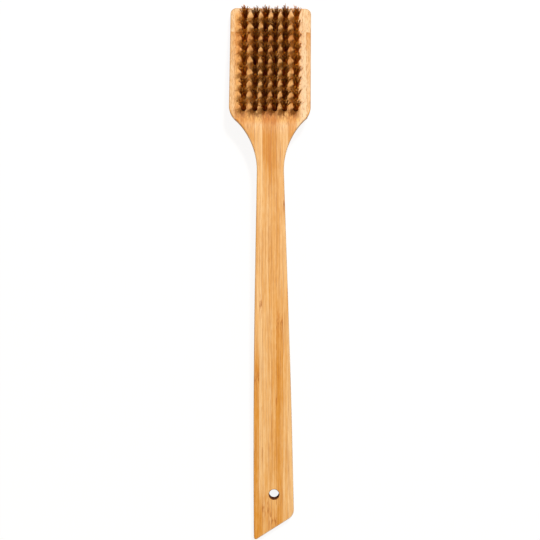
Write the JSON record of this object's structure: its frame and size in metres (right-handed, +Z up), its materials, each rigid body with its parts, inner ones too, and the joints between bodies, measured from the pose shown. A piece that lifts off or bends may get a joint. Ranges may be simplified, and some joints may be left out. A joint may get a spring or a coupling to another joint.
{
  "type": "grill brush",
  "caption": "Long flared bamboo handle with a wide tilted head that carries a grid of brass wire tufts, for scrubbing a grill grate.",
  "frame": {"origin": "below the middle of the part's box, on the surface that the brush lies on with its back down", "axes": "+Y along the brush from the pointed handle end to the head, +X to the right seen from the bristle side with the head up, +Z up, out of the bristle side; the handle rises 3 degrees towards the bend"},
  "size_m": [0.07, 0.459, 0.0478],
  "materials": {
    "honey_bamboo": "satin",
    "pale_bamboo": "satin",
    "brass": "satin"
  },
  "bodies": {
    "root": {"front_board": "honey_bamboo", "back_board": "pale_bamboo", "tuft_r1_c1": "brass", "tuft_r1_c2": "brass", "tuft_r1_c3": "brass", "tuft_r1_c4": "brass", "tuft_r1_c5": "brass", "tuft_r1_c6": "brass", "tuft_r2_c1": "brass", "tuft_r2_c2": "brass", "tuft_r2_c3": "brass", "tuft_r2_c4": "brass", "tuft_r2_c5": "brass", "tuft_r2_c6": "brass", "tuft_r3_c1": "brass", "tuft_r3_c2": "brass", "tuft_r3_c3": "brass", "tuft_r3_c4": "brass", "tuft_r3_c5": "brass", "tuft_r3_c6": "brass", "tuft_r4_c1": "brass", "tuft_r4_c2": "brass", "tuft_r4_c3": "brass", "tuft_r4_c4": "brass", "tuft_r4_c5": "brass", "tuft_r4_c6": "brass", "tuft_r5_c1": "brass", "tuft_r5_c2": "brass", "tuft_r5_c3": "brass", "tuft_r5_c4": "brass", "tuft_r5_c5": "brass", "tuft_r5_c6": "brass", "tuft_r6_c1": "brass", "tuft_r6_c2": "brass", "tuft_r6_c3": "brass", "tuft_r6_c4": "brass", "tuft_r6_c5": "brass", "tuft_r6_c6": "brass", "tuft_r7_c1": "brass", "tuft_r7_c2": "brass", "tuft_r7_c3": "brass", "tuft_r7_c4": "brass", "tuft_r7_c5": "brass", "tuft_r7_c6": "brass", "tuft_r8_c1": "brass", "tuft_r8_c2": "brass", "tuft_r8_c3": "brass", "tuft_r8_c4": "brass", "tuft_r8_c5": "brass", "tuft_r8_c6": "brass", "tuft_r9_c1": "brass", "tuft_r9_c2": "brass", "tuft_r9_c3": "brass", "tuft_r9_c4": "brass", "tuft_r9_c5": "brass", "tuft_r9_c6": "brass"}
  },
  "joints": []
}
